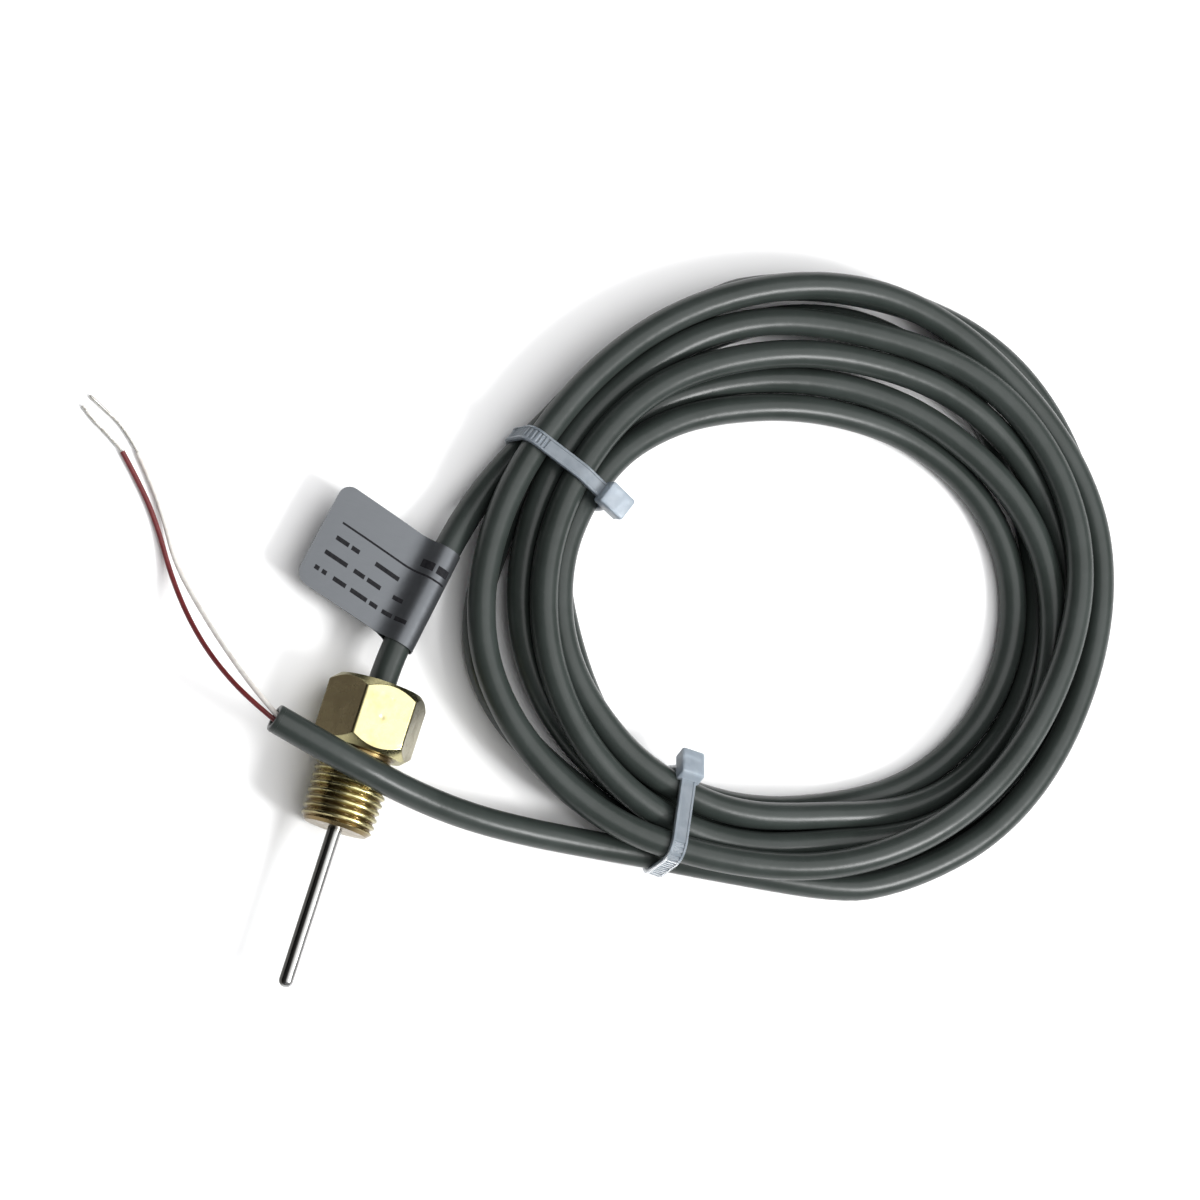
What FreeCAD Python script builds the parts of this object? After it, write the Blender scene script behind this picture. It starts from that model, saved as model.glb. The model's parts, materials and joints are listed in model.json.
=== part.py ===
"""Screw-in temperature probe with a coiled two-core cable, in millimetres.

The probe and its brass fitting lie along Y with one hexagon flat on the table (z = 0). The origin
is on the table under the middle of their bounding box. The probe tip points to -Y, the cable
leaves the hexagon towards +Y, runs to a loose coil held by two ties, and its tail crosses back
over the fitting. Pieces on the fitting's axis are drawn along their own Z, with zero at the small
end of the thread, and turned onto Y by their placement.
"""
import FreeCAD, Part
import Sketcher
import math
import os
import re

Vector = FreeCAD.Vector

DIMENSIONS = {
    # brass fitting, ISO 7 R 1/4 taper thread
    "hex_flats": 16.0,
    "hex_length": 12.0,
    "hex_chamfer": 1.8,
    "neck_length": 1.0,
    "neck_diameter": 11.4,
    "thread_length": 13.0,
    "thread_major_small_end": 12.78,
    "thread_major_large_end": 13.59,
    "thread_pitch": 1.337,
    "thread_depth": 0.82,
    "thread_clearance": 0.12,
    "thread_groove_width": 1.24,
    "thread_slope": 1.79,
    "thread_lead_in": 0.9,
    "cavity_diameter": 7.0,
    "cavity_floor": 3.5,
    # stainless sheath
    "sheath_diameter": 2.5,
    "sheath_wall": 0.2,
    "sheath_exposed": 28.5,
    "sheath_inside": 5.0,
    "collar_diameter": 4.6,
    "collar_length": 1.1,
    # platinum element and its wires
    "element_width": 1.2,
    "element_thickness": 0.4,
    "element_length": 2.3,
    "element_from_tip": 2.0,
    "film_thickness": 0.05,
    "glaze_thickness": 0.25,
    "element_wire": 0.2,
    "wire_offset": 0.45,
    "insulator_diameter": 0.8,
    "filling_length": 7.0,
    # splices in the cavity
    "splice_offset": 1.45,
    "crimp_start": 8.5,
    "crimp_length": 3.5,
    "crimp_diameter": 1.2,
    "crimp_bore": 0.5,
    "sleeve_diameter": 1.9,
    "sleeve_overlap": 0.5,
    # cable
    "cable_diameter": 5.0,
    "cable_inside": 10.0,
    "bush_length": 2.7,
    "bush_recess": 0.3,
    "core_diameter": 0.9,
    "conductor_diameter": 0.48,
    # coil and ties
    "coil_height": 14.3,
    "coil_edge_radius": 3.5,
    "tie_width": 2.9,
    "tie_thickness": 1.1,
    "tie_span": 18.4,
    "tie_corner": 4.5,
    "tie_head_length": 5.6,
    "tie_head_width": 4.5,
    "tie_head_height": 3.2,
    "tie_head_overlap": 2.6,
    "tie_stub": 1.0,
    # foil flag label
    "label_width": 19.2,
    "label_flag": 21.5,
    "label_foil": 0.12,
    "label_slack": 0.35,
}

# Centre line of the cable from the fitting to the coil.
LEAD_ROUTE = [
    (0.0, 27.25, 8.0),
    (0.0, 33.5, 8.0),
    (2.0, 43.5, 7.7),
    (4.0, 53.0, 6.6),
    (6.4, 62.5, 5.2),
    (10.2, 72.0, 4.2),
    (15.6, 82.0, 3.9),
    (21.5, 92.5, 3.6),
]
# Centre line of the cable from the coil to its cut end, over the thread.
TAIL_ROUTE = [
    (69.0, 17.6, 6.0),
    (57.5, 15.9, 6.4),
    (45.0, 13.8, 6.9),
    (33.0, 11.9, 8.5),
    (21.3, 10.6, 11.3),
    (9.6, 10.4, 15.4),
    (-2.2, 11.5, 18.3),
    (-11.5, 13.0, 18.6),
    (-18.2, 14.3, 18.1),
]
# The two insulated cores from the cut end to where their insulation is stripped.
RED_ROUTE = [
    (-18.0, 13.75, 18.1),
    (-22.5, 15.6, 16.8),
    (-27.5, 18.8, 13.2),
    (-32.0, 23.0, 8.8),
    (-36.2, 28.2, 4.6),
    (-40.4, 34.4, 1.6),
    (-44.3, 40.6, 0.62),
    (-48.9, 46.0, 0.6),
    (-54.6, 51.1, 0.6),
]
WHITE_ROUTE = [
    (-18.3, 14.75, 18.1),
    (-22.2, 17.2, 16.9),
    (-26.9, 21.4, 13.0),
    (-31.9, 26.6, 8.4),
    (-36.6, 32.0, 4.1),
    (-40.4, 36.6, 1.9),
    (-43.6, 42.0, 1.0),
    (-47.8, 47.6, 0.62),
    (-52.0, 51.9, 0.6),
]
RED_TIN_ROUTE = [(-54.6, 51.1, 0.6), (-58.0, 53.0, 0.5), (-61.3, 54.4, 0.5), (-63.8, 56.2, 0.5)]
WHITE_TIN_ROUTE = [(-52.0, 51.9, 0.6), (-55.0, 54.6, 0.5), (-58.9, 56.6, 0.5), (-63.0, 58.2, 0.5)]

# Outline of the coil about its centre: one outer and one inner radius every 30 degrees from +X.
COIL_CENTRE = Vector(67.0, 68.0, 0.0)
COIL_OUTER_RADII = [64.1, 67.3, 67.4, 62.0, 57.8, 55.2, 58.1, 61.8, 57.8, 53.8, 56.2, 60.0]
COIL_INNER_RADII = [41.3, 42.0, 37.3, 32.7, 31.9, 35.4, 40.2, 38.7, 38.7, 36.2, 36.3, 38.6]

# Each tie's middle on the table, and which way its outer side points.
TIES = {
    "tie_left": {"centre": Vector(19.7, 74.4, 0.0), "angle": 159.5},
    "tie_bottom": {"centre": Vector(58.2, 23.0, 0.0), "angle": 272.0},
}
# Two points of the label's fold line, on the cable's centre line.
LABEL_START = Vector(0.54, 34.8, 7.94)
LABEL_END = Vector(3.7, 52.4, 6.9)

document = FreeCAD.newDocument("TemperatureProbe")
sheet = document.addObject("Spreadsheet::Sheet", "Dimensions")
for row, (alias, value) in enumerate(DIMENSIONS.items(), start=1):
    sheet.set("A%d" % row, alias)
    sheet.set("B%d" % row, str(value))
    sheet.setAlias("B%d" % row, alias)
document.recompute()

parts = []


def value_of(expression):
    """Number that an expression of spreadsheet aliases gives."""
    result = sheet.evalExpression(expression)
    return float(getattr(result, "Value", result))


def bound(expression):
    """The same expression as another object writes it."""
    return re.sub(r"[a-z_]+", lambda word: ("Dimensions." if word[0] in DIMENSIONS else "") + word[0],
                  expression)


def keep(thing, label):
    """Name an object as a sub-part that is written out."""
    thing.Label = label
    parts.append(thing)
    return thing


THREAD_END_Y = "(sheath_exposed - thread_length - neck_length - hex_length) / 2"
MOUTH = "thread_length + neck_length + hex_length"


def on_axis(thing, start="0", side="0"):
    """Turn a piece drawn along Z onto the fitting's axis, start mm past the thread's small end."""
    thing.Placement = FreeCAD.Placement(Vector(0, 0, 0), FreeCAD.Rotation(Vector(1, 0, 0), -90))
    thing.setExpression("Placement.Base.x", bound(side))
    thing.setExpression("Placement.Base.y", bound("%s + (%s)" % (THREAD_END_Y, start)))
    thing.setExpression("Placement.Base.z", bound("hex_flats / 2"))
    return thing


def cylinder(name, diameter, length, start="0", side="0"):
    """Round bar on the fitting's axis, or beside it."""
    bar = document.addObject("Part::Cylinder", name)
    bar.setExpression("Radius", bound("(%s) / 2" % diameter))
    bar.setExpression("Height", bound(length))
    return on_axis(bar, start, side)


def ball(name, diameter, start):
    """Sphere on the fitting's axis."""
    sphere = document.addObject("Part::Sphere", name)
    sphere.setExpression("Radius", bound("(%s) / 2" % diameter))
    return on_axis(sphere, start)


def cut(name, base, tool):
    """Base minus tool."""
    result = document.addObject("Part::Cut", name)
    result.Base = base
    result.Tool = tool
    result.Refine = False
    return result


def fuse(name, pieces):
    """Several pieces made one."""
    result = document.addObject("Part::MultiFuse", name)
    result.Shapes = pieces
    return result


def plane_of(body, role):
    """One of a body's own origin planes."""
    return next(item for item in body.Origin.OriginFeatures if item.Role == role)


def profile(body, name, role, corners, offset=None):
    """Closed outline of straight lines whose corners are bound to the spreadsheet.

    Each corner is a pair of expressions, and "0" puts it on the axis.
    """
    sketch = body.newObject("Sketcher::SketchObject", name)
    sketch.AttachmentSupport = (plane_of(body, role), "")
    sketch.MapMode = "FlatFace"
    if offset:
        sketch.setExpression("AttachmentOffset.Base.z", bound(offset))
    points = [Vector(value_of(across), value_of(along), 0) for across, along in corners]
    count = len(points)
    for index, point in enumerate(points):
        sketch.addGeometry(Part.LineSegment(point, points[(index + 1) % count]), False)
    for index in range(count):
        sketch.addConstraint(Sketcher.Constraint("Coincident", index, 2, (index + 1) % count, 1))
    for index, (across, along) in enumerate(corners):
        for kind, axis, expression in (("DistanceX", -2, across), ("DistanceY", -1, along)):
            if expression == "0":
                sketch.addConstraint(Sketcher.Constraint("PointOnObject", index, 1, axis))
                continue
            size = value_of(expression)
            number = sketch.addConstraint(Sketcher.Constraint(kind, -1, 1, index, 1, size))
            sketch.setExpression("Constraints[%d]" % number, bound(expression))
    return sketch


def turned(body, kind, name, sketch):
    """Revolution or groove of a sketch about its own vertical axis."""
    feature = body.newObject("PartDesign::" + kind, name)
    feature.Profile = sketch
    feature.ReferenceAxis = (sketch, ["V_Axis"])
    feature.Angle = 360
    sketch.Visibility = False
    body.Tip = feature
    return feature


def make_fitting():
    """One turned piece of hexagon bar: hexagon, neck, taper thread and stepped bore."""
    body = document.addObject("PartDesign::Body", "FittingBody")
    hexagon_base = "thread_length + neck_length"
    radius = "hex_flats / sqrt(3)"
    corners = []
    for number in range(6):
        turn = math.radians(60 * number)
        corners.append((axis_share(radius, math.cos(turn)), axis_share(radius, math.sin(turn))))
    outline = profile(body, "HexagonOutline", "XY_Plane", corners, hexagon_base)
    pad = body.newObject("PartDesign::Pad", "Hexagon")
    pad.Profile = outline
    pad.setExpression("Length", bound("hex_length"))
    body.Tip = pad
    blank = profile(body, "ThreadBlank", "XZ_Plane", [
        ("0", "0"),
        ("thread_major_small_end / 2 - thread_lead_in", "0"),
        ("thread_major_small_end / 2", "thread_lead_in"),
        ("thread_major_large_end / 2", "thread_length - 0.4"),
        ("neck_diameter / 2", "thread_length + 0.2"),
        ("neck_diameter / 2", hexagon_base),
        ("0", hexagon_base)])
    turned(body, "Revolution", "ThreadBlankTurned", blank)
    document.recompute()
    for name, face, inward in (("Lower", hexagon_base, "+"), ("Upper", hexagon_base + " + hex_length", "-")):
        bevel = profile(body, name + "BevelOutline", "XZ_Plane", [
            (radius + " - hex_chamfer", face),
            (radius + " + 1", face),
            (radius + " + 1", "%s %s (hex_chamfer + 1)" % (face, inward))])
        turned(body, "Groove", name + "Bevel", bevel)
    bore = profile(body, "BoreOutline", "XZ_Plane", [
        ("0", "0"),
        ("sheath_diameter / 2", "0"),
        ("sheath_diameter / 2", "cavity_floor"),
        ("cavity_diameter / 2", "cavity_floor"),
        ("cavity_diameter / 2", hexagon_base + " + hex_length"),
        ("0", hexagon_base + " + hex_length")])
    turned(body, "Groove", "SteppedBore", bore)
    document.recompute()
    on_axis(body)
    return keep(cut("ThreadedFitting", body, make_thread_cutter()), "fitting_body")


def make_thread_cutter():
    """V groove swept up a right-hand conical helix, from below the small end into the neck."""
    pitch = value_of("thread_pitch")
    start = -pitch
    crest = value_of("thread_major_small_end / 2") + start * math.tan(math.radians(value_of("thread_slope")))
    helix = Part.makeLongHelix(pitch, value_of("thread_length") - start, crest, value_of("thread_slope"))
    helix.translate(Vector(0, 0, start))
    root = Vector(crest - value_of("thread_depth"), 0, start)
    clear = crest + value_of("thread_clearance")
    half_width = value_of("thread_groove_width") / 2
    tooth = Part.makePolygon([root, Vector(clear, 0, start - half_width),
                              Vector(clear, 0, start + half_width), root])
    cutter = document.addObject("Part::Feature", "ThreadCutter")
    cutter.Shape = Part.Wire(helix).makePipeShell([tooth], True, True)
    return on_axis(cutter)


def axis_share(radius, share):
    """Part of a radius, written as an expression, with zero kept as a plain zero."""
    share = round(share, 9)
    return "0" if share == 0 else "%s * %.9f" % (radius, share)


def make_sheath():
    """Closed stainless tube with a round tip, soldered into the fitting."""
    length = "sheath_exposed + sheath_inside - sheath_diameter / 2"
    tip_centre = "sheath_diameter / 2 - sheath_exposed"
    bore = "sheath_diameter - 2 * sheath_wall"
    outside = fuse("SheathOutside", [
        cylinder("SheathBar", "sheath_diameter", length, tip_centre),
        ball("SheathTip", "sheath_diameter", tip_centre)])
    inside = fuse("SheathInside", [
        cylinder("SheathBore", bore, length, tip_centre),
        ball("SheathBoreTip", bore, tip_centre)])
    keep(cut("Sheath", outside, inside), "probe_sheath")
    ring = cylinder("CollarBar", "collar_diameter", "collar_length", "cavity_floor")
    keep(cut("Collar", ring, outside), "solder_collar")


def axis_box(name, width, thickness, length, start, lift):
    """Flat plate in the sheath, its broad side up, lifted off the axis."""
    plate = document.addObject("Part::Box", name)
    plate.setExpression("Length", bound(width))
    plate.setExpression("Width", bound(length))
    plate.setExpression("Height", bound(thickness))
    plate.setExpression("Placement.Base.x", bound("0 - (%s) / 2" % width))
    plate.setExpression("Placement.Base.y", bound("%s + (%s)" % (THREAD_END_Y, start)))
    plate.setExpression("Placement.Base.z", bound("hex_flats / 2 + (%s)" % lift))
    return plate


def make_element():
    """Thin platinum film on a ceramic chip under a glass cap, with two insulated wires."""
    start = "element_from_tip - sheath_exposed"
    chip = keep(axis_box("Substrate", "element_width", "element_thickness", "element_length",
                         start, "0 - element_thickness / 2"), "element_substrate")
    film = keep(axis_box("Film", "element_width * 0.75", "film_thickness", "element_length * 0.7",
                         start + " + 0.1", "element_thickness / 2"), "element_film")
    glaze = keep(axis_box("Glaze", "element_width * 0.75", "glaze_thickness", "element_length * 0.7",
                          start + " + 0.1", "element_thickness / 2 + film_thickness"), "element_glaze")
    pieces = [chip, film, glaze]
    wire_start = start + " + element_length"
    for side, sign in (("a", -1), ("b", 1)):
        offset = "wire_offset * %d" % sign
        tube_start = wire_start + " + 1.2"
        tube_length = "sheath_exposed + sheath_inside - element_from_tip - element_length - 1.2"
        insulation = cut(
            "Insulator" + side,
            cylinder("InsulatorBar" + side, "insulator_diameter", tube_length, tube_start, offset),
            cylinder("InsulatorBore" + side, "element_wire", tube_length, tube_start, offset))
        pieces.append(keep(insulation, "lead_insulator_" + side))
    return pieces


def axis_point(side, start):
    """Point of the fitting's axis frame in the row frame."""
    return Vector(side, value_of("%s + (%s)" % (THREAD_END_Y, start)), value_of("hex_flats / 2"))


def rounded_path(points):
    """Wire of straight runs joined by tangent arcs, its length, and the arcs' radii."""
    edges = []
    radii = []
    previous = points[0]
    for before, corner, after in zip(points, points[1:], points[2:]):
        incoming = corner - before
        outgoing = after - corner
        turn = incoming.getAngle(outgoing)
        reach = 0.45 * min(incoming.Length, outgoing.Length)
        radii.append(reach / math.tan(turn / 2))
        start = corner - incoming.normalize() * reach
        end = corner + outgoing.normalize() * reach
        inward = (start + end) * 0.5 - corner
        inward.normalize()
        middle = corner + inward * (radii[-1] / math.cos(turn / 2) - radii[-1])
        edges.append(Part.LineSegment(previous, start).toShape())
        edges.append(Part.Arc(start, middle, end).toShape())
        previous = end
    edges.append(Part.LineSegment(previous, points[-1]).toShape())
    wire = Part.Wire(edges)
    return wire, wire.Length, radii


def tube_shape(route, diameter):
    """Round solid along a rounded path, with its volume compared to section times length."""
    points = [Vector(*point) for point in route]
    wire, length, radii = rounded_path(points)
    circle = Part.Circle(points[0], points[1] - points[0], diameter / 2)
    section = Part.Wire([circle.toShape()])
    solid = wire.makePipeShell([section], True, False)
    expected = math.pi * diameter ** 2 / 4 * length
    if abs(solid.Volume / expected - 1) > 0.01:
        raise ValueError("tube volume %.1f differs from %.1f" % (solid.Volume, expected))
    return solid, length, radii


def tube(label, route, diameter, trimmed_by=()):
    """Free stretch of a cord as its own sub-part, ending where it meets its neighbours."""
    solid, length, radii = tube_shape(route, diameter)
    for neighbour in trimmed_by:
        solid = solid.cut(neighbour.Shape)
    solids = sorted(solid.Solids, key=lambda piece: piece.Volume)
    feature = document.addObject("Part::Feature", label.title().replace("_", ""))
    feature.Shape = solids[-1]
    feature.Placement = FreeCAD.Placement()
    print("%s: length %.1f mm, arc radii %s" % (
        label, length, " ".join("%.1f" % radius for radius in radii)))
    return keep(feature, label)


def make_splices():
    """Wires, crimped joints, sleeves and core ends inside the fitting.

    Returns what takes up room in the resin, where each sleeve counts as a full bar.
    """
    pieces = []
    crimp_start = value_of("crimp_start")
    crimp_end = value_of("crimp_start + crimp_length")
    core_end = value_of("thread_length + neck_length + hex_length - cable_inside")
    for side, colour, sign in (("a", "red", -1), ("b", "white", 1)):
        near = sign * value_of("wire_offset")
        far = sign * value_of("splice_offset")
        core_side = sign * 1.0
        middle = (crimp_start + crimp_end) / 2
        wire = [axis_point(near, "element_from_tip + element_length - sheath_exposed"),
                axis_point(near, "sheath_inside + 0.4"),
                axis_point(far, "crimp_start - 0.4"),
                axis_point(far, "%f" % middle)]
        pieces.append(tube("element_lead_" + side, wire, value_of("element_wire")))
        offset = "splice_offset * %d" % sign
        crimp = cut(
            "Crimp" + side,
            cylinder("CrimpBar" + side, "crimp_diameter", "crimp_length", "crimp_start", offset),
            cylinder("CrimpBore" + side, "crimp_bore", "crimp_length", "crimp_start", offset))
        keep(crimp, "splice_crimp_" + side)
        sleeve_length = "crimp_length + 2 * sleeve_overlap"
        sleeve_start = "crimp_start - sleeve_overlap"
        sleeve_bar = cylinder("SleeveBar" + side, "sleeve_diameter", sleeve_length, sleeve_start, offset)
        sleeve_bore = cylinder("SleeveBore" + side, "crimp_diameter", sleeve_length, sleeve_start, offset)
        keep(cut("Sleeve" + side, sleeve_bar, sleeve_bore), "splice_sleeve_" + side)
        pieces.append(sleeve_bar)
        route = [axis_point(far, "%f" % (middle + 0.1)), axis_point(far, "%f" % (crimp_end + 1.0)),
                 axis_point(core_side, "%f" % (core_end - 1.2)), axis_point(core_side, "%f" % core_end)]
        conductor = tube("inner_conductor_" + colour, route, value_of("conductor_diameter"))
        pieces.append(conductor)
        covered = [axis_point(far, "%f" % (crimp_end + 0.05))] + route[1:]
        pieces.append(tube("inner_core_" + colour, covered, value_of("core_diameter"), [conductor]))
    return pieces


def make_cable_end():
    """Cable jacket held in the fitting, and the bush around it at the mouth."""
    stub = cylinder("CableStub", "cable_diameter", "cable_inside", MOUTH + " - cable_inside")
    keep(stub, "cable_end_in_fitting")
    start = MOUTH + " - bush_length - bush_recess"
    bush = cut("Bush", cylinder("BushBar", "cavity_diameter", "bush_length", start),
               cylinder("BushBore", "cable_diameter", "bush_length", start))
    return [stub, keep(bush, "cable_bush")]


def filling(label, space, contents):
    """What is left of a space when the pieces in it are taken away."""
    for number, piece in enumerate(contents):
        space = cut("%s%d" % (label.title().replace("_", ""), number), space, piece)
    return keep(space, label)


def make_fillings(element, splices, cable_end):
    """Powder in the tip and resin in the cavity, each around the pieces that it holds."""
    wires = [piece for piece in splices if piece.Label.startswith("element_lead")]
    tip_centre = "sheath_diameter / 2 - sheath_exposed"
    bore = "sheath_diameter - 2 * sheath_wall"
    powder = fuse("PowderSpace", [
        cylinder("PowderBar", bore, "filling_length - sheath_diameter / 2", tip_centre),
        ball("PowderTip", bore, tip_centre)])
    filling("tip_filling", powder, element + wires)
    resin = cylinder("ResinSpace", "cavity_diameter", MOUTH + " - bush_length - bush_recess - cavity_floor",
                     "cavity_floor")
    sheath_bar = document.getObject("SheathOutside")
    collar_bar = document.getObject("CollarBar")
    filling("potting_resin", resin, splices + cable_end[:1] + [sheath_bar, collar_bar])


def ring_outline(radii):
    """Closed smooth curve through points at equal angles about the coil's centre."""
    points = []
    for number, radius in enumerate(radii):
        turn = 2 * math.pi * number / len(radii)
        points.append(COIL_CENTRE + Vector(radius * math.cos(turn), radius * math.sin(turn), 0))
    curve = Part.BSplineCurve()
    curve.interpolate(Points=points, PeriodicFlag=True)
    return Part.Wire([curve.toShape()])


def make_coil(ties):
    """Outer shape of the coiled cable, with room for the ties' straps."""
    face = Part.Face(ring_outline(COIL_OUTER_RADII)).cut(Part.Face(ring_outline(COIL_INNER_RADII)))
    ring = face.extrude(Vector(0, 0, value_of("coil_height")))
    rims = [edge for edge in ring.Edges if abs(edge.BoundBox.ZLength) < 1e-3]
    ring = ring.makeFillet(value_of("coil_edge_radius"), rims)
    for tie in ties:
        ring = ring.cut(tie.Shape)
    feature = document.addObject("Part::Feature", "CableCoil")
    feature.Shape = max(ring.Solids, key=lambda piece: piece.Volume)
    feature.Placement = FreeCAD.Placement()
    return keep(feature, "cable_coil")


def tie_block(name, length, height, width, corner, lift):
    """Block with rounded long edges, centred on the tie's own origin."""
    block = document.addObject("Part::Box", name + "Block")
    block.setExpression("Length", bound(length))
    block.setExpression("Width", bound(width))
    block.setExpression("Height", bound(height))
    block.setExpression("Placement.Base.x", bound("0 - (%s) / 2" % length))
    block.setExpression("Placement.Base.y", bound("0 - (%s) / 2" % width))
    block.setExpression("Placement.Base.z", bound(lift))
    document.recompute()
    rounded = document.addObject("Part::Fillet", name)
    rounded.Base = block
    radius = value_of(corner)
    rounded.Edges = [(number, radius, radius) for number, edge in enumerate(block.Shape.Edges, start=1)
                     if edge.BoundBox.YLength > 0.9 * value_of(width)]
    return rounded


def make_tie(label, centre, angle):
    """Nylon tie round the bundle: strap loop, ratchet head and trimmed strap end, one moulding."""
    name = label.title().replace("_", "")
    outer_length = "tie_span + 2 * tie_thickness"
    outer_height = "coil_height + tie_thickness"
    outer = tie_block(name + "Outer", outer_length, outer_height, "tie_width", "tie_corner", "0")
    inner = tie_block(name + "Inner", "tie_span", outer_height + " - 2 * tie_thickness", "tie_width + 2",
                      "tie_corner - tie_thickness", "tie_thickness")
    loop = cut(name + "Loop", outer, inner)
    head_x = "0 - (%s) / 2 + tie_head_overlap - tie_head_length" % outer_length
    head_z = outer_height + " - tie_thickness - 0.2"
    head = document.addObject("Part::Box", name + "HeadBlock")
    head.setExpression("Length", bound("tie_head_length"))
    head.setExpression("Width", bound("tie_head_width"))
    head.setExpression("Height", bound("tie_head_height"))
    head.setExpression("Placement.Base.x", bound(head_x))
    head.setExpression("Placement.Base.y", bound("0 - tie_head_width / 2"))
    head.setExpression("Placement.Base.z", bound(head_z))
    stub = document.addObject("Part::Box", name + "Stub")
    stub.setExpression("Length", bound("tie_thickness"))
    stub.setExpression("Width", bound("tie_width"))
    stub.setExpression("Height", bound("tie_stub"))
    stub.setExpression("Placement.Base.x", bound(head_x + " + tie_head_length / 2"))
    stub.setExpression("Placement.Base.y", bound("0 - tie_width / 2"))
    stub.setExpression("Placement.Base.z", bound(head_z + " + tie_head_height"))
    document.recompute()
    moulding = cut(name + "Moulding", fuse(name + "Joined", [loop, head, stub]), inner)
    document.recompute()
    moulding.Placement = FreeCAD.Placement(centre, FreeCAD.Rotation(Vector(0, 0, 1), angle))
    return keep(moulding, label)


def make_label():
    """Foil label folded round the cable, its two halves stuck together as a flag."""
    along = (LABEL_END - LABEL_START).normalize()
    left = Vector(0, 0, 1).cross(along).normalize()
    width = value_of("label_width")
    foil = value_of("label_foil")
    hollow = Part.makeCylinder(value_of("cable_diameter / 2 + label_slack"), width, LABEL_START, along)
    wrap = Part.makeCylinder(value_of("cable_diameter / 2 + label_slack + label_foil"), width,
                             LABEL_START, along)
    flag = Part.makeBox(value_of("label_flag"), 2 * foil, width)
    flag.Placement = FreeCAD.Placement(LABEL_START - along.cross(left) * foil,
                                       FreeCAD.Rotation(left, Vector(), along, "ZXY"))
    feature = document.addObject("Part::Feature", "Label")
    feature.Shape = wrap.fuse(flag).cut(hollow)
    feature.Placement = FreeCAD.Placement()
    return keep(feature, "label_flag")


make_fitting()
make_sheath()
element = make_element()
document.recompute()
splices = make_splices()
cable_end = make_cable_end()
document.recompute()
make_fillings(element, splices, cable_end)
document.recompute()

ties = [make_tie(label, **place) for label, place in TIES.items()]
document.recompute()
coil = make_coil(ties)
cable = value_of("cable_diameter")
tube("cable_lead", LEAD_ROUTE, cable, [coil] + ties)
tail = tube("cable_tail", TAIL_ROUTE, cable, [coil] + ties)
core = value_of("core_diameter")
tin = value_of("conductor_diameter")
red = tube("core_red", RED_ROUTE, core, [tail])
white = tube("core_white", WHITE_ROUTE, core, [tail])
tube("tinned_end_red", RED_TIN_ROUTE, tin, [red])
tube("tinned_end_white", WHITE_TIN_ROUTE, tin, [white])
make_label()
document.recompute()

for thing in document.Objects:
    if "Invalid" in thing.State or "Error" in thing.State:
        raise RuntimeError("%s did not compute: %s" % (thing.Label, thing.State))
os.makedirs("parts", exist_ok=True)
for part in parts:
    shape = part.Shape
    if shape.isNull() or not shape.isValid():
        raise RuntimeError("%s has no valid shape" % part.Label)
    print("%-22s solids %d volume %10.3f box %s" % (
        part.Label, len(shape.Solids), shape.Volume,
        " ".join("%.2f" % number for number in (
            shape.BoundBox.XMin, shape.BoundBox.XMax, shape.BoundBox.YMin,
            shape.BoundBox.YMax, shape.BoundBox.ZMin, shape.BoundBox.ZMax))))
    shape.exportStep("parts/%s.step" % part.Label)
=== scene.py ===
"""Looks of a screw-in temperature probe and its coiled cable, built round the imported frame."""
import json
import math

import bmesh
import bpy
import numpy as np
from mathutils import Matrix, Vector


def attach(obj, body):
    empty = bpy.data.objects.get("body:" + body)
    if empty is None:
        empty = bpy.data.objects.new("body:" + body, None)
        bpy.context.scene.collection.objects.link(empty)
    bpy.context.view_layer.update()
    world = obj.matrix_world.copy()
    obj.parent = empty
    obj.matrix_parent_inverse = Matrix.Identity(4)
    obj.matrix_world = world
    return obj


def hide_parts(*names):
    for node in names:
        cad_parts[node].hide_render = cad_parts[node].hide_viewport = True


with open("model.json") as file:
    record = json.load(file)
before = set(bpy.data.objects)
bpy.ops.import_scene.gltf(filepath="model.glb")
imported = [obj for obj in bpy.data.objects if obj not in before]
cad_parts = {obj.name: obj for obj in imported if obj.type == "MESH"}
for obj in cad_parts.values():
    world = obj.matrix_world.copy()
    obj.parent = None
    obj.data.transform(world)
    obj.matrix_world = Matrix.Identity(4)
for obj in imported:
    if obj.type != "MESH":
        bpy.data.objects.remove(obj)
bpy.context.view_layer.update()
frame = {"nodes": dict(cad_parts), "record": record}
MM = 0.001

# ---------------------------------------------------------------- sizes, in millimetres
CABLE = 5.0
CORE = 0.9

# Routes of the free stretches, as in the CAD model.
LEAD_ROUTE = [
    (0.0, 27.25, 8.0), (0.0, 33.5, 8.0), (2.0, 43.5, 7.7), (4.0, 53.0, 6.6),
    (6.4, 62.5, 5.2), (10.2, 72.0, 4.2), (15.6, 82.0, 3.9), (21.5, 92.5, 3.6)]
TAIL_ROUTE = [
    (69.0, 17.6, 6.0), (57.5, 15.9, 6.4), (45.0, 13.8, 6.9), (33.0, 11.9, 8.5), (21.3, 10.6, 11.3),
    (9.6, 10.4, 15.4), (-2.2, 11.5, 18.3), (-11.5, 13.0, 18.6), (-18.2, 14.3, 18.1)]
RED_ROUTE = [
    (-18.0, 13.75, 18.1), (-22.5, 15.6, 16.8), (-27.5, 18.8, 13.2), (-32.0, 23.0, 8.8),
    (-36.2, 28.2, 4.6), (-40.4, 34.4, 1.6), (-44.3, 40.6, 0.62), (-48.9, 46.0, 0.6), (-54.6, 51.1, 0.6)]
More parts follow.
